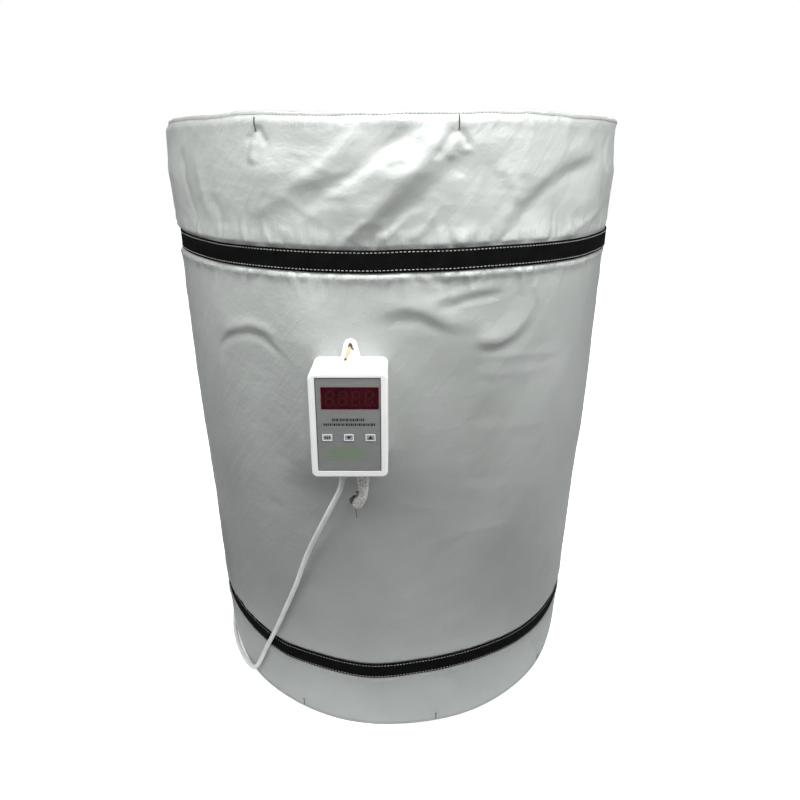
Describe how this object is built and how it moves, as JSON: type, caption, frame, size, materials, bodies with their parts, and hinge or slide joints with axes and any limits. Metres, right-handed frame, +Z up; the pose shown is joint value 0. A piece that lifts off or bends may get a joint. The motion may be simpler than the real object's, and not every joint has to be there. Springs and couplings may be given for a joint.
{
  "type": "drum heater blanket",
  "caption": "Padded heater blanket for a steel or plastic drum: silver wrap-round jacket with two black straps, a back flap closure, a boxed temperature controller and a mains cord.",
  "frame": {"origin": "on the axis of the drum bore at floor level, where the bottom hem stands", "axes": "+Z up along the bore axis; the controller looks along -Y, so the panel gap and closure are at +Y; +X is to the right when the controller is seen from in front"},
  "size_m": [0.678, 0.7064, 0.85],
  "materials": {
    "cover_fabric": "satin coated cloth",
    "lining_cloth": "plain cloth",
    "felt": "needled felt",
    "heating_tape": "smooth",
    "sensor_steel": "satin",
    "webbing": "woven",
    "ring_steel": "satin",
    "thread": "stitched",
    "eyelet_metal": "satin",
    "glass_sleeve": "braided",
    "case_plastic": "moulded satin",
    "screw_steel": "zinc plated",
    "overlay_film": "satin film",
    "window_red": "polished",
    "module_black": "matte",
    "board_green": "lacquered",
    "relay_blue": "matte",
    "core_iron": "lacquered",
    "terminal_plastic": "matte",
    "key_plastic": "satin",
    "tie_sleeve": "smooth",
    "cord_jacket": "smooth",
    "plug_rubber": "moulded",
    "pin_brass": "polished"
  },
  "bodies": {
    "root": {"outer_cover": "cover_fabric", "inner_lining": "lining_cloth", "insulation_pad": "felt", "heating_tape": "heating_tape", "temperature_sensor": "sensor_steel", "upper_strap": "webbing", "lower_strap": "webbing", "upper_strap_ring": "ring_steel", "lower_strap_ring": "ring_steel", "upper_ring_tab": "webbing", "lower_ring_tab": "webbing", "closure_flap": "cover_fabric", "panel_loop_strip": "webbing", "flap_hook_strip": "webbing", "tack_stitches": "thread", "lead_eyelet": "eyelet_metal", "sleeved_lead": "glass_sleeve", "lead_gland": "case_plastic", "cord_gland": "cord_jacket", "controller_case_front": "case_plastic", "controller_case_back": "case_plastic", "case_screws": "screw_steel", "board_screws": "screw_steel", "control_overlay": "overlay_film", "display_window": "window_red", "display_module": "module_black", "circuit_board": "board_green", "relay": "relay_blue", "power_transformer": "core_iron", "terminal_block": "terminal_plastic", "key_switches": "module_black", "lug_tie": "tie_sleeve", "mains_cord": "cord_jacket", "mains_cord_coil": "cord_jacket", "mains_cord_tail": "cord_jacket", "cord_tie": "webbing", "plug_body": "plug_rubber", "plug_pins": "pin_brass"},
    "set_key": {"set_key": "key_plastic"},
    "down_key": {"down_key": "key_plastic"},
    "up_key": {"up_key": "key_plastic"}
  },
  "joints": [
    {"name": "set_key_press", "type": "slide", "parent": "root", "child": "set_key", "axis": [0, 1, 0], "range_m": [0, 0.0004], "stiffness_N_per_m": 400},
    {"name": "down_key_press", "type": "slide", "parent": "root", "child": "down_key", "axis": [0, 1, 0], "range_m": [0, 0.0004], "stiffness_N_per_m": 400},
    {"name": "up_key_press", "type": "slide", "parent": "root", "child": "up_key", "axis": [0, 1, 0], "range_m": [0, 0.0004], "stiffness_N_per_m": 400}
  ]
}
